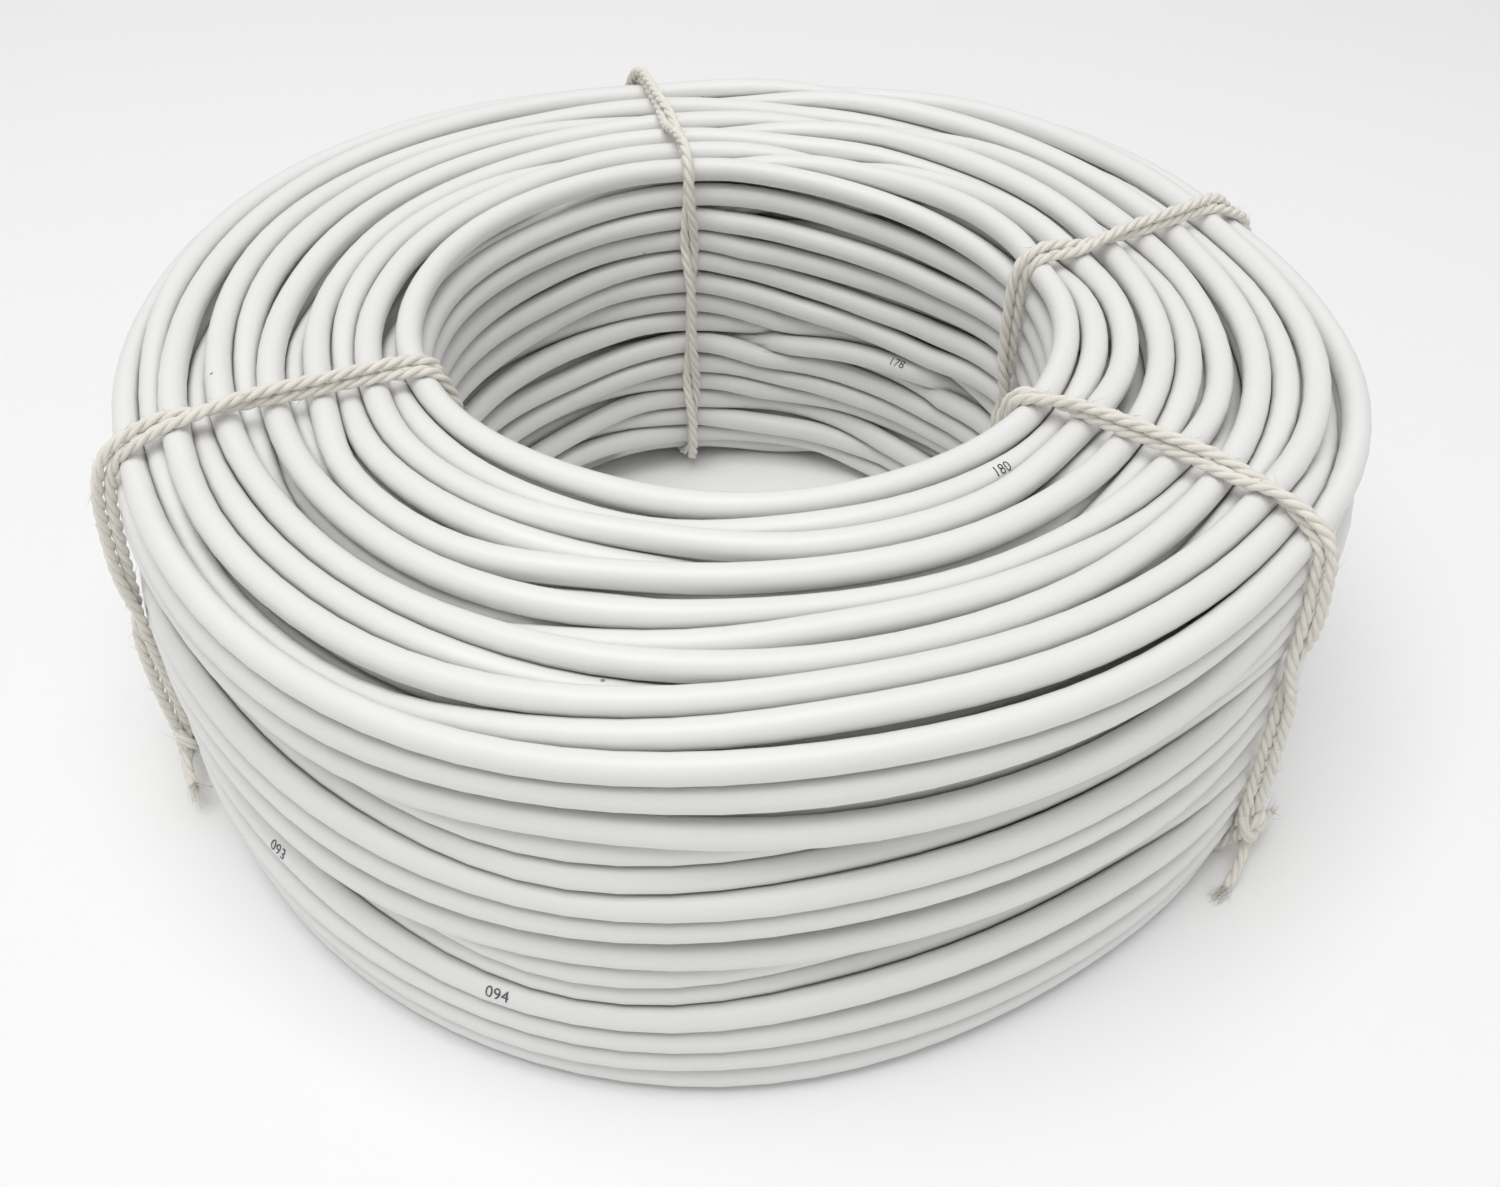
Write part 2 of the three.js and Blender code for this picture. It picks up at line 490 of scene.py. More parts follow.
@dataclass(frozen=True)
class Settling:
    """How the turns settle, step by step."""

    steps: int = 260
    quick_steps: int = 90
    pull: float = 0.06  # towards a turn's slot, in each step
    early_pull: float = 0.05  # more of it at the start
    stiffness: float = 0.08  # of the cable, in each step
    early_stiffness: float = 0.4
    push: float = 1.1  # of the overlap, when two turns part
    sharing: float = 0.55  # of the pushes of several neighbours
    reach: float = 1.5  # diameters within which turns are neighbours
    refresh: int = 8  # steps between two searches for neighbours
    early: float = 0.8  # share of the steps in which the early values fade
    slack: float = 0.0009  # that turns may stray out of the coil's outline between ties
    slack_on_top: float = 0.6  # as a share of it
    stray: float = 0.0008  # that turns stray from their slots between ties
    stray_length: float = 26.0  # degrees along the cable over which that changes
    firm_share: float = 0.45  # of it that the firm turns don't do
    loose_foot: float = 0.8  # more of it at the foot of the bore
    ripple: float = 0.0002  # finer straying, also at the ties
    ripple_length: float = 9.0


class WindingSolver:
    """Settles the turns of one long cable by pushing apart those that overlap."""

    def __init__(self, shape: WindingShape, settling: Settling) -> None:
        """Lays the cable out on its slots.

        Args:
            shape: The winding's sizes.
            settling: How the turns settle.
        """
        self.shape = shape
        self.settling = settling
        self.rng = np.random.default_rng(shape.seed + 1)
        slots = shape.slots() / np.array([shape.layers - 1, shape.rows - 1])
        slots, following = slots[:-1], slots[1:]
        self.turns = len(slots)
        self.azimuth = shape.first_azimuth + np.arange(shape.stations) * 360.0 / shape.stations
        share = (np.arange(shape.stations) / shape.stations - shape.steady) / (1 - shape.steady)
        share = np.clip(share, 0.0, 1.0)
        share = (share**2 * (3 - 2 * share))[None, :, None]
        self.slots = slots[:, None, :] * (1 - share) + following[:, None, :] * share
        places = shape.slot_places(self.azimuth)
        self.target = places[:-1] * (1 - share) + places[1:] * share
        on_top = slots[:, 1] * (shape.rows - 1) > shape.rows - 1 - shape.surface_depth
        firm = np.where((slots[:, 0] % 1 == 0) | on_top, 1.0, shape.core_firmness)[:, None, None]
        self.firm = firm * (1 - share) + np.concatenate([firm[1:], np.ones((1, 1, 1))]) * share
        self.upper, self.lower = np.triu_indices(self.turns, 1)
        self.hold = shape.held(self.azimuth[None, :], self.slots[..., 0])

    def wander(self, amount: float, reach: float) -> np.ndarray:
        """Smooth random offsets along the cable.

        Args:
            amount: Their typical size.
            reach: Degrees along the cable over which they change.

        Returns:
            Offsets with the shape of the points.
        """
        noise = self.rng.standard_normal((self.turns * self.shape.stations, 2))
        width = reach * self.shape.stations / 360.0
        taps = np.arange(-int(3 * width), int(3 * width) + 1)
        kernel = np.exp(-0.5 * (taps / width) ** 2)
        kernel /= np.sqrt((kernel**2).sum())
        smooth = np.stack([np.convolve(noise[:, axis], kernel, mode="same") for axis in (0, 1)], -1)
        return amount * smooth.reshape(self.turns, self.shape.stations, 2)

    def smoothed(self, points: np.ndarray, strength: float) -> np.ndarray:
        """Points drawn towards the middle of their neighbours along the cable.

        Args:
            points: Radii and heights.
            strength: How far they move, as a share of the way.

        Returns:
            The moved points.
        """
        chain = points.reshape(-1, 2)
        middle = chain.copy()
        middle[2:-2] = (chain[:-4] + 2 * chain[1:-3] + 2 * chain[3:-1] + chain[4:]) / 6
        middle[1] = (chain[0] + chain[2]) / 2
        middle[-2] = (chain[-1] + chain[-3]) / 2
        return (chain + strength * (middle - chain)).reshape(points.shape)

    def near_pairs(self, points: np.ndarray, reach: float) -> tuple[np.ndarray, np.ndarray]:
        """Flat indices of the points at one station that lie within reach of each other.

        Args:
            points: Radii and heights.
            reach: The greatest distance of two points in a pair.

        Returns:
            The first and the second point of each pair.
        """
        gap = points[self.upper] - points[self.lower]
        pair, station = np.nonzero((gap**2).sum(-1) < reach**2)
        count = self.shape.stations
        return self.upper[pair] * count + station, self.lower[pair] * count + station

    def parted(self, points: np.ndarray, one: np.ndarray, other: np.ndarray) -> np.ndarray:
        """Points moved so that pairs nearer than a cable's diameter come apart.

        Args:
            points: Radii and heights.
            one: Flat indices of each pair's first point.
            other: Flat indices of its second.

        Returns:
            The moved points.
        """
        flat = points.reshape(-1, 2)
        gap = flat[one] - flat[other]
        length = np.maximum(np.sqrt((gap**2).sum(-1)), TINY)
        short = np.maximum(self.shape.cable_diameter - length, 0.0)
        push = gap * (0.5 * short / length)[:, None]
        touched = (short > 0).astype(float)
        size = len(flat)
        counts = np.bincount(one, touched, size) + np.bincount(other, touched, size)
        move = np.empty_like(flat)
        for axis in (0, 1):
            total = np.bincount(one, push[:, axis], size) - np.bincount(other, push[:, axis], size)
            move[:, axis] = total / np.maximum(counts, 1.0) ** self.settling.sharing
        return (flat + self.settling.push * move).reshape(points.shape)

    def confined(self, points: np.ndarray) -> np.ndarray:
        """Points kept on the floor, out of the bore, and within the coil's outside and top.

        Args:
            points: Radii and heights.

        Returns:
            The moved points.
        """
        shape = self.shape
        across, up = self.slots[..., 0], self.slots[..., 1]
        slack = self.settling.slack * (1 - self.hold)
        azimuth = self.azimuth[None, :]
        outer = shape.outer_line(azimuth, up) + slack
        high = shape.top - shape.cable_radius - shape.sag(azimuth, across)
        high = high + self.settling.slack_on_top * slack
        low = shape.low_line(azimuth, across)
        radius = np.clip(points[..., 0], shape.inner_line - slack, outer)
        height = np.clip(points[..., 1], low, high)
        for corner, facing in ((shape.outer_corner, 1.0), (shape.outer_corner * shape.foot_rounding, -1.0)):
            level = high - corner if facing > 0 else low + corner
            right = radius - (outer - corner)
            above = facing * (height - level)
            far = np.hypot(right, above)
            over = (right > 0) & (above > 0) & (far > corner)
            scale = np.where(over, corner / np.maximum(far, TINY), 1.0)
            radius = np.where(over, outer - corner + right * scale, radius)
            height = np.where(over, level + facing * above * scale, height)
        return np.stack([radius, height], -1)

    def solve(self) -> np.ndarray:
        """Settles the cable.

        Returns:
            Radii and heights, one row a turn and one column a station.
        """
        settling = self.settling
        loose = (1 - self.hold)[..., None] * (1 - settling.firm_share * self.firm)
        low_in_bore = (1 - self.slots[..., :1]) ** 4 * (self.slots[..., 1:] < 0.5)
        target = self.shape.nudged(self.target, self.azimuth[None, :])
        stray = self.wander(settling.stray, settling.stray_length)
        target = target + loose * (1 + settling.loose_foot * low_in_bore) * stray
        target = target + self.wander(settling.ripple, settling.ripple_length)
        points = target.copy()
        steps = settling.steps
        for step in range(steps):
            if step % settling.refresh == 0:
                one, other = self.near_pairs(points, settling.reach * self.shape.cable_diameter)
            early = max(1 - step / (settling.early * steps), 0.0)
            pull = settling.pull + settling.early_pull * early
            points = points + pull * self.firm * (target - points)
            points = self.smoothed(points, settling.stiffness + settling.early_stiffness * early)
            points = self.parted(points, one, other)
            points = self.parted(points, one, other)
            points = self.confined(points)
        return self.smoothed(points, settling.early_stiffness)


class TubeSet:
    """Round tubes gathered into one mesh, with a UV map of metres along and turns around."""

    def __init__(self) -> None:
        """Starts with no tubes."""
        self.vertices: list[np.ndarray] = []
        self.faces: list[list[int]] = []
        self.smooth: list[bool] = []
        self.runs: list[np.ndarray] = []
        self.crevices: list[np.ndarray] = []
        self.count = 0

    def add(
        self,
        line: np.ndarray,
        radius: np.ndarray | float,
        sides: int,
        aside: np.ndarray,
        crevice: np.ndarray | None = None,
    ) -> None:
        """Adds a tube that is closed at both ends.

        Args:
            line: The centre line's points.
            radius: The tube's radius, one value or one a point.
            sides: How many sides its section has.
            aside: A direction across the line at each point, or one for all.
            crevice: How deep in a groove each point of its surface lies, from 0 to 1, which the jacket's
                painted groove shade follows.
        """
        points = len(line)
        side, top = axes_across(line, aside)
        around = np.arange(sides) * 2 * np.pi / sides
        radii = np.broadcast_to(radius, (points,))[:, None, None]
        ring = side[:, None] * np.cos(around)[:, None] + top[:, None] * np.sin(around)[:, None]
        self.vertices.append((line[:, None] + radii * ring).reshape(-1, 3))
        first = (np.arange(points - 1) * sides)[:, None] + self.count
        here = np.arange(sides)[None, :]
        after = (here + 1) % sides
        quads = np.stack([first + here, first + sides + here, first + sides + after, first + after], -1)
        self.faces.extend(quads.reshape(-1, 4).tolist())
        self.smooth.extend([True] * (points - 1) * sides)
        last = self.count + (points - 1) * sides
        self.faces.append(list(range(self.count, self.count + sides)))
        self.faces.append(list(range(last, last + sides))[::-1])
        self.smooth.extend([False, False])
        along, turn = np.meshgrid(run_length(line), np.arange(sides) / sides, indexing="ij")
        self.runs.append(np.stack([along, turn], -1).reshape(-1, 2))
        if crevice is not None:
            self.crevices.append(crevice.ravel())
        self.count += points * sides

    def make(self, name: str, material: bpy.types.Material) -> bpy.types.Object:
        """Makes the object.

        Args:
            name: Its name.
            material: Its material.

        Returns:
            The new object, linked to the scene.
        """
        mesh = bpy.data.meshes.new(name)
        mesh.from_pydata(np.concatenate(self.vertices).tolist(), [], self.faces)
        layer = mesh.uv_layers.new(name="run")
        index = np.empty(len(mesh.loops), int)
        mesh.loops.foreach_get("vertex_index", index)
        layer.data.foreach_set("uv", np.concatenate(self.runs)[index].ravel())
        mesh.polygons.foreach_set("use_smooth", self.smooth)
        if self.crevices:
            crevice = mesh.attributes.new("crevice", "FLOAT", "POINT")
            crevice.data.foreach_set("value", np.concatenate(self.crevices))
        mesh.materials.append(material)
        mesh.update()
        piece = bpy.data.objects.new(name, mesh)
        bpy.context.scene.collection.objects.link(piece)
        LOG.info("%s: %d triangles", name, sum(len(face) - 2 for face in self.faces))
        return piece


@dataclass
class WoundCable:
    """The whole cable along its settled path, from its radii and heights at every station."""

    shape: WindingShape
    points: np.ndarray
    material: bpy.types.Material
    sides: int = 14
    pieces: int = 6
    trimmed: int = 40  # stations cut off at the inner end
    painted_shade_reach: float = 0.0005  # how far from a neighbour's surface the painted shade in the grooves reaches
    shading_reach: float = 1.9  # diameters within which a turn counts as a neighbour there

    def centre_line(self) -> np.ndarray:
        """The cable's centre line, from its inner end to its outer end."""
        flat = self.points.reshape(-1, 2)
        return in_space(flat, self.azimuth_of(np.arange(len(flat))))[self.trimmed :]

    def azimuth_of(self, station: np.ndarray) -> np.ndarray:
        """Azimuth in radians at stations along the whole chain."""
        return np.radians(self.shape.first_azimuth + station * 360.0 / self.shape.stations)

    def stations_to(self, azimuth: np.ndarray) -> np.ndarray:
        """Stations from a turn's start to azimuths in degrees."""
        return (azimuth - self.shape.first_azimuth) % 360.0 * self.shape.stations / 360.0

    def section(self, site: TieSite) -> np.ndarray:
        """Radii and heights of all turns where a tie crosses them.

        Args:
            site: The tie's place.

        Returns:
            One row a turn.
        """
        across = self.shape.across_at(self.points[..., 0].mean(1))
        chain = self.points.reshape(-1, 2)
        index = np.arange(len(across)) * self.shape.stations + self.stations_to(site.azimuth_at(across))
        whole = np.minimum(index.astype(int), len(chain) - 2)
        part = (index - whole)[:, None]
        return chain[whole] * (1 - part) + chain[whole + 1] * part

    def nearest_turn(self, azimuth: float, radius: float, height: float) -> float:
        """Where along the chain, in stations, the turn nearest to a place passes its azimuth.

        Args:
            azimuth: The place's azimuth.
            radius: Its radius.
            height: Its height.

        Returns:
            The station, counted from the chain's start.
        """
        chain = self.points.reshape(-1, 2)
        index = np.arange(1, len(self.points) - 1) * self.shape.stations + self.stations_to(azimuth)
        away = np.linalg.norm(chain[index.astype(int)] - np.array([radius, height]), axis=1)
        return float(index[away.argmin()])

    def crevices(self, pairs: tuple[np.ndarray, np.ndarray]) -> np.ndarray:
        """How deep in a groove each point of the cable's surface lies, which sets where the jacket is
        darkened as painted shade.

        Args:
            pairs: Flat indices of the points of neighbouring turns.

        Returns:
            Values from 0, open, to 1, where two turns touch: one row a point of the chain.
        """
        flat = self.points.reshape(-1, 2)
        around = np.arange(self.sides) * 2 * np.pi / self.sides
        rim = self.shape.cable_radius * np.stack([np.cos(around), np.sin(around)], -1)
        deep = np.zeros((len(flat), self.sides))
        for here, there in (pairs, pairs[::-1]):
            gap = np.linalg.norm(flat[here][:, None] + rim - flat[there][:, None], axis=-1)
            shade = np.exp(-np.maximum(gap - self.shape.cable_radius, 0.0) / self.painted_shade_reach)
            np.maximum.at(deep, here, shade)
        return deep

    def build(self, pairs: tuple[np.ndarray, np.ndarray]) -> list[bpy.types.Object]:
        """Builds the cable in a few pieces, each of many turns.

        Args:
            pairs: Flat indices of the points of neighbouring turns.

        Returns:
            The pieces.
        """
        line = self.centre_line()
        deep = self.crevices(pairs)[self.trimmed :]
        LOG.info("cable length %.1f m", run_length(line)[-1])
        cuts = np.linspace(0, len(line) - 1, self.pieces + 1).astype(int)
        made = []
        for number, (start, stop) in enumerate(zip(cuts[:-1], cuts[1:]), 1):
            tubes = TubeSet()
            part = line[start : stop + 1]
            outward = part * np.array([1.0, 1.0, 0.0])
            tubes.add(part, self.shape.cable_radius, self.sides, outward, deep[start : stop + 1])
            made.append(tubes.make(f"cable_turns_{number}", self.material))
        return made


@dataclass(frozen=True)
class NumberMark:
    """A plain length mark that is printed along one turn.

    Args:
        text: The number.
        azimuth: Where it starts.
        radius: About the radius of the turn.
        height: About the height of the turn.
        lean: Degrees round the cable, from straight outwards up to the number's foot.
        in_bore: Whether it is read from inside the bore.
        size: Height of the type.
        lift: How far the ink stands off the jacket.
    """

    text: str
    azimuth: float
    radius: float
    height: float
    lean: float
    in_bore: bool = False
    size: float = 0.0027
    lift: float = 0.00003

    def build(self, cable: WoundCable, ink: bpy.types.Material) -> bpy.types.Object:
        """Builds the mark and bends it round its turn.

        Args:
            cable: The cable that carries it.
            ink: Its material.

        Returns:
            The mark.
        """
        bpy.ops.object.select_all(action="DESELECT")
        bpy.ops.object.text_add()
        bpy.context.object.data.body = self.text
        bpy.context.object.data.size = self.size
        bpy.context.object.data.resolution_u = 3
        bpy.ops.object.convert(target="MESH")
        mark = bpy.context.object
        mark.name = mark.data.name = f"length_mark_{self.text}"
        bpy.ops.object.mode_set(mode="EDIT")
        bpy.ops.mesh.select_all(action="SELECT")
        bpy.ops.mesh.quads_convert_to_tris()
        bpy.ops.mesh.subdivide(number_cuts=3)
        bpy.ops.object.mode_set(mode="OBJECT")
        flat = np.empty(len(mark.data.vertices) * 3)
        mark.data.vertices.foreach_get("co", flat)
        along, above = flat.reshape(-1, 3)[:, :2].T
        shape = cable.shape
        chain = cable.points.reshape(-1, 2)
        start = cable.nearest_turn(self.azimuth, self.radius, self.height)
        facing = -1 if self.in_bore else 1
        station = start + facing * np.degrees(along / chain[int(start), 0]) * shape.stations / 360.0
        whole = np.arange(len(chain))
        radius, height = (np.interp(station, whole, chain[:, axis]) for axis in (0, 1))
        angle = math.radians(self.lean) + facing * above / shape.cable_radius
        radius = radius + (shape.cable_radius + self.lift) * np.cos(angle)
        height = height + (shape.cable_radius + self.lift) * np.sin(angle)
        bent = in_space(np.stack([radius, height], -1), cable.azimuth_of(station))
        mark.data.vertices.foreach_set("co", bent.ravel())
        mark.data.materials.append(ink)
        mark.data.update()
        LOG.info("%s: %d triangles", mark.name, len(mark.data.polygons))
        return mark


NUMBER_MARKS = (
    NumberMark("180", 315.0, 0.0640, 0.0820, 38.0),
    NumberMark("178", 61.0, 0.0590, 0.0370, 152.0, in_bore=True),
    NumberMark("094", 257.5, 0.1190, 0.0200, 14.0),
    NumberMark("093", 233.5, 0.1160, 0.0200, 12.0),
)


@dataclass(frozen=True)
class CutEnd:
    """One cut end of the cable, with its braid, foam and core."""

    name: str
    index: int  # of its point on the centre line
    braid_radius: float = 0.00175
    foam_radius: float = 0.00150
    core_radius: float = 0.00040
    depth: float = 0.0010  # of all three behind the cut
    first_reach: float = 0.00012  # of the braid in front of it
    further_reach: float = 0.00018  # of each of the others beyond the one before
    sides: int = 24

    def build(self, line: np.ndarray, materials: tuple[bpy.types.Material, ...]) -> list[bpy.types.Object]:
        """Builds the three rings that show in the cut.

        Args:
            line: The cable's centre line.
            materials: Those of the braid, the foam and the core.

        Returns:
            The pieces.
        """
        inward = line[1] - line[0] if self.index == 0 else line[-2] - line[-1]
        ahead = -unit(inward)
        radii = (self.braid_radius, self.foam_radius, self.core_radius)
        made = []
        for number, (part, radius) in enumerate(zip(("braid", "foam", "core"), radii)):
            tubes = TubeSet()
            reach = self.first_reach + self.further_reach * number
            ends = line[self.index] + ahead * np.array([-self.depth, -0.3 * self.depth, reach])[:, None]
            tubes.add(ends, radius, self.sides, UPWARDS)
            made.append(tubes.make(f"{part}_{self.name}", materials[number]))
        return made


def convex_outline(points: np.ndarray) -> np.ndarray:
    """The convex outline of points in a plane, anticlockwise.

    Args:
        points: One row a point.

    Returns:
        The outline's corners.
    """
    ordered = points[np.lexsort((points[:, 1], points[:, 0]))]

    def half(run: np.ndarray) -> list[np.ndarray]:
        """One side of the outline.

        Args:
            run: The points, in order along one axis.

        Returns:
            Its corners.
        """
        chain: list[np.ndarray] = []
        for point in run:
            while len(chain) > 1:
                before, last = chain[-1] - chain[-2], point - chain[-1]
                if before[0] * last[1] - before[1] * last[0] > 0:
                    break
                chain.pop()
            chain.append(point)
        return chain

    return np.array(half(ordered)[:-1] + half(ordered[::-1])[:-1])


@dataclass(frozen=True)
class TwineLay:
    """How the twine is made up."""

    diameter: float = 0.0021
    clearance: float = 0.00115  # from its centre line to the floor
    plies: int = 3
    ply_radius: float = 0.00056
    ply_offset: float = 0.00052  # from the twine's middle
    pitch: float = 0.0085  # of the plies, for one turn
    step: float = 0.0005  # between two points of its line
    sides: int = 8
    unevenness: float = 0.06


@dataclass
class TwineTie:
    """One tie: twine doubled round the winding, with its knot and frayed ends."""

    site: TieSite
    cable: WoundCable
    material: bpy.types.Material
    lay: TwineLay = field(default_factory=TwineLay)
    knot_height: float = 0.0095
    knot_scale: float = 0.00115
    knot_depth: float = 0.0011
    knot_root: float = 0.0004  # from the loop's line to the knot
    tail_length: float = 0.0088
    tail_root: float = 0.0016  # from the loop's line to a tail
    tail_bow: float = 0.0012  # outwards
    tail_start_drop: float = 0.0015
    tail_drop: float = 0.0048
    tail_clearance: float = 0.0013  # from its centre line to the floor
    tail_spread: float = 0.0022  # of the two tails' heights at their ends
    tail_fibres: int = 36
    fray_lengths: tuple[float, float] = (0.0015, 0.0045)
    fray_spread: float = 0.55
    fray_root: float = 0.0005
    fray_radii: tuple[float, float] = (0.00009, 0.00003)
    fray_clearance: float = 0.0003
    loose_fibres: int = 150
    fibre_lengths: tuple[float, float] = (0.0012, 0.0034)
    fibre_root: float = 0.0009  # from the twine's line
    fibre_rise: float = 0.45  # as a share of its length
    fibre_radii: tuple[float, float] = (0.00006, 0.00002)
    fibre_clearance: float = 0.0002
    flat_below: float = 0.004  # where the two runs lie side by side on the floor
    run_offset: float = 0.49  # of each run from the loop's line, in diameters
    smoothing: int = 4  # points on each side, where the two runs pass over each other

    def route(self) -> tuple[np.ndarray, np.ndarray]:
        """The loop's path in its upright section, from its knot round to it again.

        Returns:
            Radii and heights, and the outward normals in the section.
        """
        reach = self.cable.shape.cable_radius + self.lay.diameter / 2
        around = np.linspace(0, 2 * np.pi, 24, endpoint=False)
        circle = reach * np.stack([np.cos(around), np.sin(around)], -1)
        outline = convex_outline((self.cable.section(self.site)[:, None] + circle).reshape(-1, 2))
        outline[:, 1] = np.maximum(outline[:, 1], self.lay.clearance)
        closed = np.vstack([outline, outline[:1]])
        along = run_length(closed)
        even = np.linspace(0, along[-1], int(along[-1] / self.lay.step), endpoint=False)
        path = np.stack([np.interp(even, along, closed[:, axis]) for axis in (0, 1)], -1)
        spread = range(-2, 3)
        path = sum(np.roll(path, shift, axis=0) for shift in spread) / len(spread)
        outside = np.where(path[:, 0] > path[:, 0].mean(), np.abs(path[:, 1] - self.knot_height), 1.0)
        path = np.roll(path, -int(outside.argmin()), axis=0)
        path = np.vstack([path, path[:1]])
        ahead = unit(np.gradient(path, axis=0))
        return path, np.stack([ahead[:, 1], -ahead[:, 0]], -1)

    def placed(self, section: np.ndarray) -> np.ndarray:
        """Places in the tie's section as points in space."""
        across = self.cable.shape.across_at(section[:, 0])
        return in_space(section, np.radians(self.site.azimuth_at(across)))

    def add_run(self, tubes: TubeSet, line: np.ndarray, aside: np.ndarray, start: float) -> None:
        """Adds one run of plied twine.

        Args:
            tubes: The tubes that it joins.
            line: The run's centre line.
            aside: A direction across the line at each point.
            start: Radians by which the lay is turned at the run's start.
        """
        lay = self.lay
        side, top = axes_across(line, aside)
        along = run_length(line)
        for ply in range(lay.plies):
            turn = 2 * np.pi * (along / lay.pitch + ply / lay.plies) + start
            offset = side * np.cos(turn)[:, None] + top * np.sin(turn)[:, None]
            uneven = 1 + lay.unevenness * np.sin(along * 900 + 2.1 * ply + start)
            tubes.add(line + lay.ply_offset * offset, lay.ply_radius * uneven, lay.sides, side)

    def add_fibres(self, tubes: TubeSet, line: np.ndarray, rng: np.random.Generator) -> None:
        """Adds short loose fibres that stand off the twine.

        Args:
            tubes: The tubes that they join.
            line: The twine's centre line.
            rng: The source of random numbers.
        """
        for place in rng.integers(4, len(line) - 6, self.loose_fibres):
            ahead = unit(line[place + 1] - line[place - 1])
            out = rng.standard_normal(3)
            out = unit(out - (out @ ahead) * ahead)
            length = rng.uniform(*self.fibre_lengths)
            share = np.linspace(0, 1, 5)[:, None]
            curve = line[place] + out * (self.fibre_root + length * self.fibre_rise * share)
            curve = curve + ahead * length * share * rng.uniform(-1, 1)
            curve[:, 2] = np.maximum(curve[:, 2], self.fibre_clearance)
            tubes.add(curve, np.linspace(*self.fibre_radii, 5), 3, np.cross(out, ahead))

    def add_knot(self, tubes: TubeSet, middle: np.ndarray, outward: np.ndarray, across: np.ndarray) -> None:
        """Adds the overhand knot and its two frayed tails.

        Args:
            tubes: The tubes that they join.
            middle: The knot's place on the loop.
            outward: The direction away from the axis.
            across: The direction across the tie.
        """
        turn = np.linspace(0, 2 * np.pi, 90)
        size = self.knot_scale
        sideways = size * (np.sin(turn) + 2 * np.sin(2 * turn)) * 0.9
        upwards = size * (np.cos(turn) - 2 * np.cos(2 * turn))
        out = self.knot_depth * (1.0 - np.sin(3 * turn)) + self.knot_root
        line = middle + across * sideways[:, None] + UPWARDS * upwards[:, None] + outward * out[:, None]
        self.add_run(tubes, line, outward, 0.3)
        rng = np.random.default_rng(int(self.site.outside))
        for side in (-1, 1):
            share = np.linspace(0, 1, 24)[:, None]
            line = middle + across * side * self.tail_length * share
            line = line + outward * (self.tail_root + self.tail_bow * np.sin(2.4 * share))
            drop = self.tail_start_drop + (self.tail_drop - self.tail_spread * side) * share
            line = line - UPWARDS * drop
            line[:, 2] = np.maximum(line[:, 2], self.tail_clearance)
            self.add_run(tubes, line, outward, 1.1 * side)
            ahead = unit(line[-1] - line[-4])
            for _ in range(self.tail_fibres):
                spray = unit(ahead + self.fray_spread * rng.standard_normal(3))
                length = rng.uniform(*self.fray_lengths)
                fibre = line[-1] + self.fray_root * rng.standard_normal(3)
                fibre = fibre + spray * length * np.linspace(0, 1, 4)[:, None]
                fibre[:, 2] = np.maximum(fibre[:, 2], self.fray_clearance)
                tubes.add(fibre, np.linspace(*self.fray_radii, 4), 3, outward)

    def build(self) -> bpy.types.Object:
        """Builds the tie.

        Returns:
            The tie as one piece.
        """
        path, normal = self.route()
        line = self.placed(path)
        ahead = unit(np.gradient(line, axis=0))
        azimuth = np.arctan2(line[:, 1], line[:, 0])
        radial = np.stack([np.cos(azimuth), np.sin(azimuth), 0 * azimuth], -1)
        out = unit(radial * normal[:, :1] + UPWARDS * normal[:, 1:])
        across = unit(np.cross(ahead, out))
        twist = 2 * np.pi * run_length(line) / self.site.twist_length + math.radians(self.site.twist_start)
        twist = twist + 0.5 * np.sin(2 * twist)
        on_floor = line[:, 2] < self.flat_below
        tubes = TubeSet()
        half = self.run_offset * self.lay.diameter
        for side in (-1, 1):
            rise = np.where(on_floor, 0.0, half * (np.abs(np.sin(twist)) + side * np.sin(twist)))
            shift = side * half * np.where(on_floor, 1.0, np.cos(twist))
            run = line + across * shift[:, None] + out * rise[:, None]
            padded = np.pad(run, ((self.smoothing, self.smoothing), (0, 0)), mode="edge")
            count = 2 * self.smoothing + 1
            run = sum(padded[start : start + len(run)] for start in range(count)) / count
            self.add_run(tubes, run, across, 0.7 * side)
            self.add_fibres(tubes, run, np.random.default_rng(int(self.site.bore) + side))
        self.add_knot(tubes, line[0], radial[0], unit(np.cross(UPWARDS, radial[0])))
        return tubes.make(f"twine_{self.site.name}", self.material)


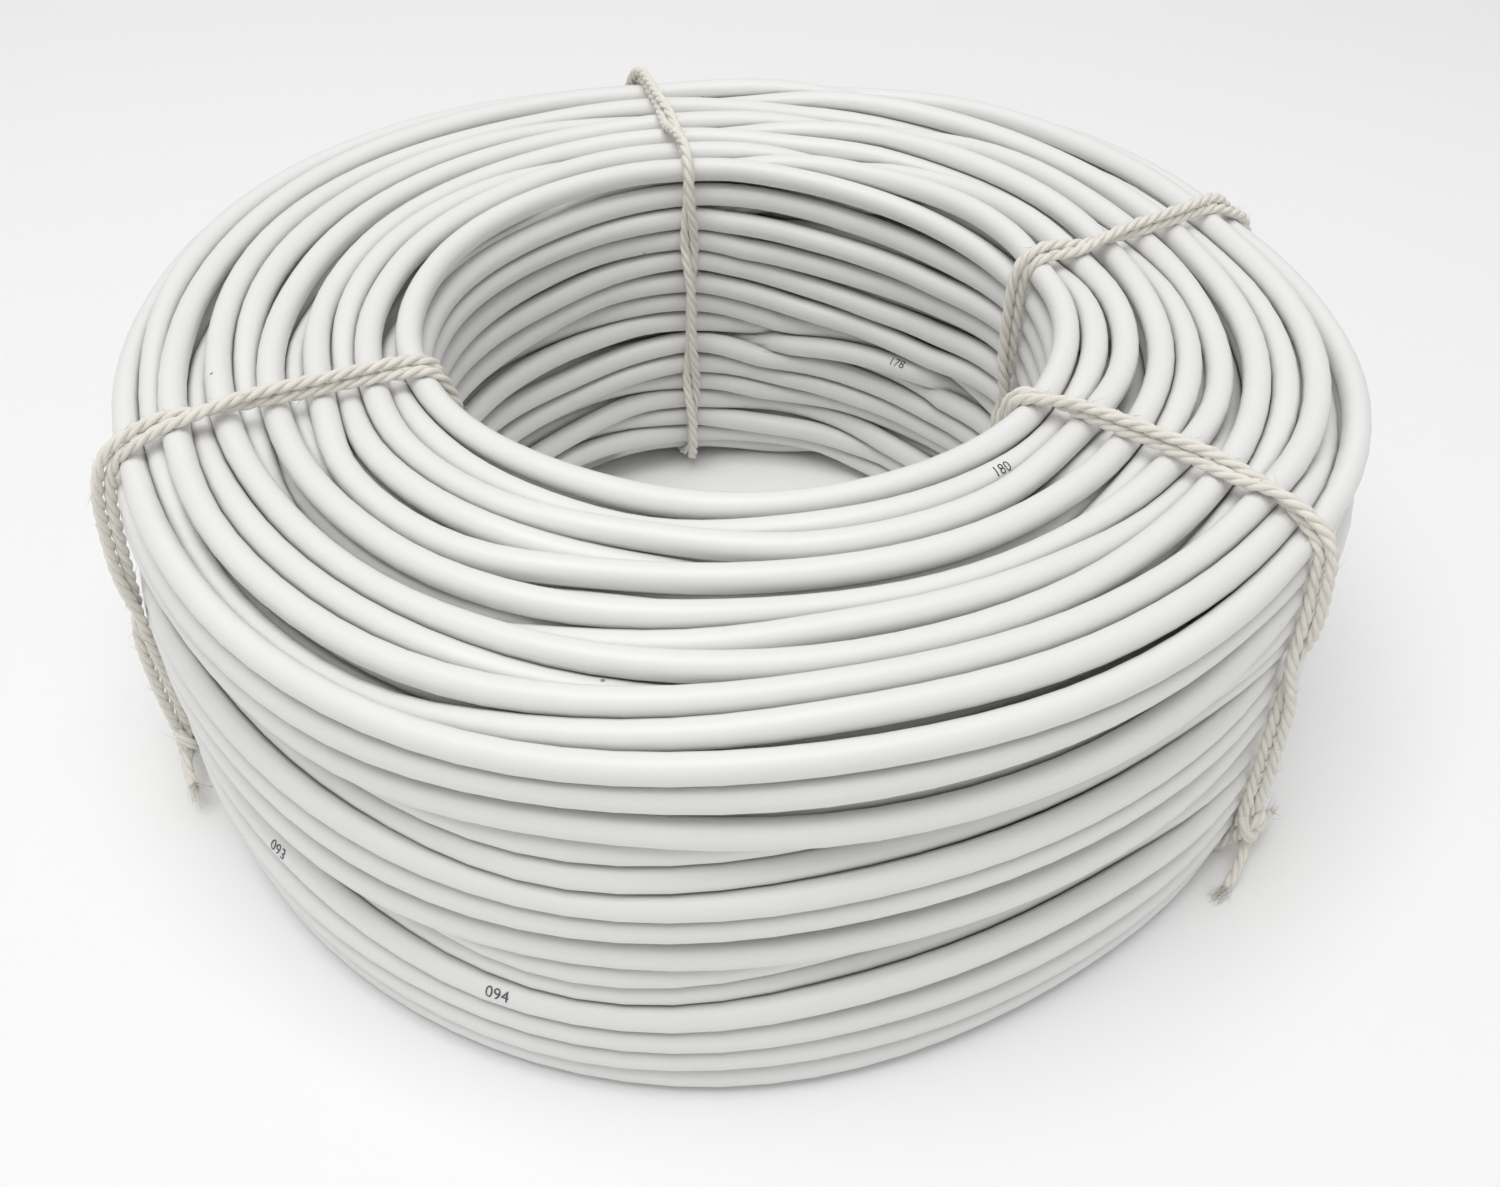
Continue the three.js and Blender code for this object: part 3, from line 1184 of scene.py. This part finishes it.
class NodeTree:
    """Short ways to wire a node tree."""

    def __init__(self, tree: bpy.types.NodeTree) -> None:
        """Works on one tree.

        Args:
            tree: The tree that the nodes go into.
        """
        self.tree = tree

    def add(self, kind: str, settings: dict[str, object] | None = None, **inputs: object) -> bpy.types.Node:
        """Adds a node.

        Args:
            kind: The node's type.
            settings: The node's own settings.
            inputs: Values or sockets for its inputs, by name, with _ for a space.

        Returns:
            The new node.
        """
        node = self.tree.nodes.new(kind)
        for name, value in (settings or {}).items():
            setattr(node, name, value)
        for name, value in inputs.items():
            self.feed(node.inputs[name.replace("_", " ")], value)
        return node

    def feed(self, socket: bpy.types.NodeSocket, value: object) -> None:
        """Links a socket to an input, or sets the input's value.

        Args:
            socket: The input.
            value: The socket or the value.
        """
        if isinstance(value, bpy.types.NodeSocket):
            self.tree.links.new(value, socket)
        else:
            socket.default_value = value

    def math(self, operation: str, one: object, other: object = 0.0) -> bpy.types.NodeSocket:
        """The result of a sum on two values.

        Args:
            operation: The kind of sum.
            one: A value or a socket.
            other: Another.

        Returns:
            The result's socket.
        """
        node = self.add("ShaderNodeMath", {"operation": operation})
        self.feed(node.inputs[0], one)
        self.feed(node.inputs[1], other)
        return node.outputs[0]

    def band(
        self, value: object, low: float, high: float, start: float = 0.0, end: float = 1.0
    ) -> bpy.types.NodeSocket:
        """A value carried over from one range to another, and held inside it."""
        ends = {"From_Min": low, "From_Max": high, "To_Min": start, "To_Max": end}
        return self.add("ShaderNodeMapRange", Value=value, **ends).outputs[0]

    def mix(self, share: object, one: object, other: object) -> bpy.types.NodeSocket:
        """A mix of two colours.

        Args:
            share: How much of the other colour there is.
            one: A colour or a socket.
            other: Another.

        Returns:
            The mix's socket.
        """
        node = self.add("ShaderNodeMix", {"data_type": "RGBA"})
        self.feed(node.inputs[0], share)
        self.feed(node.inputs[6], one)
        self.feed(node.inputs[7], other)
        return node.outputs[2]

    def noise(self, place: object, scale: object, detail: float = 3.0) -> bpy.types.NodeSocket:
        """A noise value at a place."""
        return self.add("ShaderNodeTexNoise", Vector=place, Scale=scale, Detail=detail).outputs["Fac"]

    def stretched(self, along: float, around: float) -> bpy.types.NodeSocket:
        """A place on a tube, from its UV map, with its own scale along and around.

        Args:
            along: Scale per metre.
            around: Scale per turn.

        Returns:
            The place's socket.
        """
        node = self.add("ShaderNodeVectorMath", {"operation": "MULTIPLY"})
        self.feed(node.inputs[0], self.add("ShaderNodeUVMap", {"uv_map": "run"}).outputs[0])
        self.feed(node.inputs[1], (along, around, 1.0))
        return node.outputs[0]


def surface_group(
    name: str, numbers: tuple[str, ...] = ()
) -> tuple[NodeTree, bpy.types.Node, bpy.types.Node]:
    """An empty shader node group for a surface.

    It takes a pale and a dull colour and a roughness, and gives a colour, a roughness and a height.

    Args:
        name: Its name.
        numbers: Names of further number inputs.

    Returns:
        A way to wire it, its input node and its output node.
    """
    group = bpy.data.node_groups.new(name, "ShaderNodeTree")
    for socket in ("Pale", "Dull"):
        group.interface.new_socket(socket, in_out="INPUT", socket_type="NodeSocketColor")
    for socket in ("Roughness", *numbers):
        group.interface.new_socket(socket, in_out="INPUT", socket_type="NodeSocketFloat")
    group.interface.new_socket("Color", in_out="OUTPUT", socket_type="NodeSocketColor")
    for socket in ("Roughness", "Height"):
        group.interface.new_socket(socket, in_out="OUTPUT", socket_type="NodeSocketFloat")
    wiring = NodeTree(group)
    return wiring, wiring.add("NodeGroupInput"), wiring.add("NodeGroupOutput")


@dataclass(frozen=True)
class Finish:
    """A surface with its base values.

    Args:
        name: The material's name.
        pale: Its colour where it is clean.
        dull: Its colour where it is worn or shaded by dirt.
        roughness: Its middle roughness.
        bump: How strongly its small relief shows.
    """

    name: str
    pale: tuple[float, float, float]
    dull: tuple[float, float, float]
    roughness: float
    bump: float

    def material(self, group: bpy.types.NodeTree, **values: float) -> bpy.types.Material:
        """The material, with its colour, roughness and relief from a node group.

        Args:
            group: The surface's node group.
            values: Numbers for the group's own inputs, or else for the shader's, with _ for a space.

        Returns:
            The new material.
        """
        material = bpy.data.materials.new(self.name)
        material.use_nodes = True
        wiring = NodeTree(material.node_tree)
        shader = material.node_tree.nodes["Principled BSDF"]
        colours = {"Pale": (*self.pale, 1), "Dull": (*self.dull, 1)}
        surface = wiring.add("ShaderNodeGroup", {"node_tree": group}, Roughness=self.roughness, **colours)
        wiring.feed(shader.inputs["Base Color"], surface.outputs["Color"])
        wiring.feed(shader.inputs["Roughness"], surface.outputs["Roughness"])
        height = surface.outputs["Height"]
        bump = wiring.add("ShaderNodeBump", Height=height, Strength=self.bump, Distance=RELIEF)
        wiring.feed(shader.inputs["Normal"], bump.outputs[0])
        for name, value in values.items():
            node = surface if name in surface.inputs else shader
            node.inputs[name.replace("_", " ")].default_value = value
        return material


def jacket_surface() -> bpy.types.NodeTree:
    """Satin white PVC: faint drawn lines, a cloudy tint, painted shade in the grooves where turns touch, and
    a few dark specks.

    Returns:
        The surface's node group.
    """
    wiring, given, out = surface_group("jacket_surface")
    pale, dull = given.outputs["Pale"], given.outputs["Dull"]
    place = wiring.add("ShaderNodeTexCoord").outputs["Object"]
    cloud = wiring.band(wiring.noise(place, 26.0, 4.0), 0.40, 0.68)
    drawn = wiring.noise(wiring.stretched(30.0, 9.0), 1.0, 2.0)
    grain = wiring.noise(place, 2600.0, 2.0)
    # the groove mask below darkens the jacket as painted shade where turns touch
    groove = wiring.add("ShaderNodeAttribute", {"attribute_name": "crevice"}).outputs["Fac"]
    patchy = wiring.band(cloud, 0.0, 1.0, 0.85, 1.0)
    groove_shade = wiring.math("MULTIPLY", wiring.math("POWER", groove, 1.3), patchy)
    speck = wiring.add("ShaderNodeTexVoronoi", Vector=place, Scale=150.0)
    near = wiring.band(speck.outputs["Distance"], 0.035, 0.075, 1.0, 0.0)
    chance = wiring.add("ShaderNodeSeparateColor", Color=speck.outputs["Color"]).outputs[0]
    dot = wiring.math("MULTIPLY", wiring.math("MULTIPLY", near, wiring.band(chance, 0.955, 0.965)), 0.75)
    clouded = wiring.mix(wiring.math("MULTIPLY", cloud, 0.5), pale, dull)
    lined = wiring.mix(wiring.band(drawn, 0.35, 0.75, 0.0, 0.25), clouded, dull)
    # painted shade: the jacket is mixed towards dark grey in the grooves between turns
    groove_shaded = wiring.mix(wiring.math("MULTIPLY", groove_shade, 0.9), lined, PAINTED_GROOVE_SHADE)
    wiring.feed(out.inputs["Color"], wiring.mix(dot, groove_shaded, SPECK_BROWN))
    rough = wiring.band(grain, 0.3, 0.7, -0.03, 0.03)
    rough = wiring.math("ADD", rough, wiring.band(cloud, 0.0, 1.0, -0.03, 0.06))
    rough = wiring.math("ADD", rough, wiring.math("MULTIPLY", groove_shade, 0.3))
    wiring.feed(out.inputs["Roughness"], wiring.math("ADD", rough, given.outputs["Roughness"]))
    relief = wiring.math("ADD", wiring.math("MULTIPLY", grain, 0.25), wiring.math("MULTIPLY", drawn, 0.6))
    wiring.feed(out.inputs["Height"], relief)
    return wiring.tree


def twine_surface() -> bpy.types.NodeTree:
    """Spun plant fibre: streaks along each ply, uneven bleaching and a few darker fibres.

    Returns:
        The surface's node group.
    """
    wiring, given, out = surface_group("twine_surface")
    place = wiring.add("ShaderNodeTexCoord").outputs["Object"]
    streak = wiring.noise(wiring.stretched(260.0, 14.0), 1.0, 4.0)
    fine = wiring.noise(wiring.stretched(900.0, 60.0), 1.0, 2.0)
    patch = wiring.band(wiring.noise(place, 90.0, 3.0), 0.35, 0.7)
    spun = wiring.mix(wiring.band(streak, 0.30, 0.72), given.outputs["Dull"], given.outputs["Pale"])
    bleached = wiring.mix(wiring.math("MULTIPLY", patch, 0.35), spun, BLEACHED_FIBRE)
    threads = wiring.band(fine, 0.62, 0.80, 0.0, 0.35)
    wiring.feed(out.inputs["Color"], wiring.mix(threads, bleached, DARK_FIBRE))
    rough = wiring.band(streak, 0.2, 0.8, 0.06, -0.08)
    wiring.feed(out.inputs["Roughness"], wiring.math("ADD", rough, given.outputs["Roughness"]))
    wiring.feed(out.inputs["Height"], wiring.math("ADD", streak, wiring.math("MULTIPLY", fine, 0.5)))
    return wiring.tree


def plain_surface() -> bpy.types.NodeTree:
    """Uneven tone and roughness, and a fine grain, for paper, ink, foam and wire.

    Its Tone and Grain inputs are the scales of the two, in patches a metre.

    Returns:
        The surface's node group.
    """
    wiring, given, out = surface_group("plain_surface", ("Tone", "Grain"))
    place = wiring.add("ShaderNodeTexCoord").outputs["Object"]
    tone = wiring.band(wiring.noise(place, given.outputs["Tone"]), 0.35, 0.7)
    wiring.feed(out.inputs["Color"], wiring.mix(tone, given.outputs["Pale"], given.outputs["Dull"]))
    rough = wiring.band(tone, 0.0, 1.0, -0.05, 0.08)
    wiring.feed(out.inputs["Roughness"], wiring.math("ADD", rough, given.outputs["Roughness"]))
    wiring.feed(out.inputs["Height"], wiring.noise(place, given.outputs["Grain"], 2.0))
    return wiring.tree


RELIEF = 0.0002
# painted shade: the dark grey that the jacket takes in the grooves between turns
PAINTED_GROOVE_SHADE = (0.17, 0.16, 0.145, 1.0)
SPECK_BROWN = (0.10, 0.075, 0.05, 1.0)
BLEACHED_FIBRE = (0.88, 0.86, 0.80, 1.0)
DARK_FIBRE = (0.42, 0.35, 0.25, 1.0)
JACKET_FINISH = Finish("cable_jacket", (0.83, 0.83, 0.82), (0.785, 0.78, 0.76), 0.44, 0.10)
TWINE_FINISH = Finish("twine", (0.90, 0.875, 0.81), (0.76, 0.72, 0.635), 0.86, 0.55)
INK_FINISH = Finish("print_ink", (0.035, 0.035, 0.04), (0.16, 0.16, 0.165), 0.5, 0.10)
BRAID_FINISH = Finish("wire_braid", (0.62, 0.60, 0.57), (0.40, 0.38, 0.35), 0.38, 0.5)
FOAM_FINISH = Finish("core_foam", (0.86, 0.86, 0.84), (0.78, 0.78, 0.75), 0.6, 0.3)
CORE_FINISH = Finish("copper_core", (0.72, 0.36, 0.20), (0.50, 0.25, 0.14), 0.34, 0.2)
PAPER_FINISH = Finish("floor_paper", (0.94, 0.94, 0.94), (0.93, 0.93, 0.93), 0.92, 0.02)
SMALL_PART_SCALES = {"Tone": 1400.0, "Grain": 5200.0}
PAPER_SCALES = {"Tone": 6.0, "Grain": 900.0}


@dataclass(frozen=True)
class Studio:
    """The photo's view, a pale floor and soft light."""

    unit: float = 0.11306  # metres for one unit of distance
    focal_pixels: float = 1603.5
    elevation: float = 41.247  # degrees above the floor
    distance: float = 3.0435  # from the axis on the floor
    centre_pixel: tuple[float, float] = (736.335, 621.203)
    roll: float = 0.372
    azimuth: float = 7.0  # degrees round from -Y
    floor_size: float = 6.0
    room_strength: float = 0.55
    lamp_power: float = 6.9
    lamp_size: float = 0.8
    lamp_place: tuple[float, float, float] = (-0.08, -0.22, 1.10)

    def make_camera(self) -> bpy.types.Object:
        """The camera at the photo's viewing angle.

        Returns:
            The camera.
        """
        data = bpy.data.cameras.new("view")
        camera = bpy.data.objects.new("view", data)
        bpy.context.scene.collection.objects.link(camera)
        data.sensor_fit = "HORIZONTAL"
        data.sensor_width = 36.0
        data.lens = self.focal_pixels / PHOTO_WIDTH * data.sensor_width
        data.shift_x = -(self.centre_pixel[0] - PHOTO_WIDTH / 2) / PHOTO_WIDTH
        data.shift_y = (self.centre_pixel[1] - PHOTO_HEIGHT / 2) / PHOTO_WIDTH
        turn, tilt = math.radians(self.azimuth), math.radians(self.elevation)
        back = Vector((math.sin(turn) * math.cos(tilt), -math.cos(turn) * math.cos(tilt), math.sin(tilt)))
        camera.location = back * self.distance * self.unit
        camera.rotation_mode = "QUATERNION"
        level = (-back).to_track_quat("-Z", "Y")
        camera.rotation_quaternion = level @ Quaternion((0, 0, 1), math.radians(self.roll))
        data.clip_start = 0.01
        bpy.context.scene.camera = camera
        return camera

    def make_floor(self, paper: bpy.types.Material) -> bpy.types.Object:
        """A wide pale floor of one material.

        Args:
            paper: The material.

        Returns:
            The floor.
        """
        bpy.ops.mesh.primitive_plane_add(size=self.floor_size, location=(0, 0, 0))
        floor = bpy.context.object
        floor.name = "floor"
        floor.data.materials.append(paper)
        return floor

    def make_lights(self) -> None:
        """A bright room and one soft overhead light."""
        world = bpy.data.worlds.new("room")
        world.use_nodes = True
        background = world.node_tree.nodes["Background"]
        background.inputs["Color"].default_value = (1, 1, 1, 1)
        background.inputs["Strength"].default_value = self.room_strength
        bpy.context.scene.world = world
        light = bpy.data.lights.new("overhead", "AREA")
        light.energy = self.lamp_power
        light.size = self.lamp_size
        lamp = bpy.data.objects.new("overhead", light)
        lamp.location = self.lamp_place
        lamp.rotation_euler = (-lamp.location).to_track_quat("-Z", "Y").to_euler()
        bpy.context.scene.collection.objects.link(lamp)


def fasten(piece: bpy.types.Object, node: str) -> None:
    """Ties a piece to the frame.

    Args:
        piece: The piece.
        node: The frame's node that it stands for.
    """
    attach(piece, "root")
    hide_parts(node)


def main() -> None:
    """Builds the coil piece by piece."""
    logging.basicConfig(level=logging.INFO, format="%(name)s: %(message)s")
    studio = Studio()
    studio.make_camera()
    plain = plain_surface()
    studio.make_floor(PAPER_FINISH.material(plain, **PAPER_SCALES))
    studio.make_lights()
    bpy.context.scene.view_settings.view_transform = "Standard"
    shape = WindingShape()
    solver = WindingSolver(shape, Settling())
    LOG.info("%d turns", solver.turns)
    jacket = JACKET_FINISH.material(jacket_surface(), IOR=1.5)
    twine = TWINE_FINISH.material(twine_surface(), Sheen_Weight=0.25)
    points = solver.solve()
    cable = WoundCable(shape, points, jacket)
    for piece in cable.build(solver.near_pairs(points, cable.shading_reach * shape.cable_diameter)):
        fasten(piece, "cable_coil")
    for site in TIE_SITES:
        fasten(TwineTie(site, cable, twine).build(), site.node)
    ink = INK_FINISH.material(plain, **SMALL_PART_SCALES)
    for mark in NUMBER_MARKS:
        fasten(mark.build(cable, ink), "cable_coil")
    inside = (
        BRAID_FINISH.material(plain, Metallic=1.0, **SMALL_PART_SCALES),
        FOAM_FINISH.material(plain, **SMALL_PART_SCALES),
        CORE_FINISH.material(plain, Metallic=1.0, **SMALL_PART_SCALES),
    )
    for end in (CutEnd("inner", 0), CutEnd("outer", -1)):
        for piece in end.build(cable.centre_line(), inside):
            fasten(piece, "cable_coil")


if __name__ == "__main__":
    main()
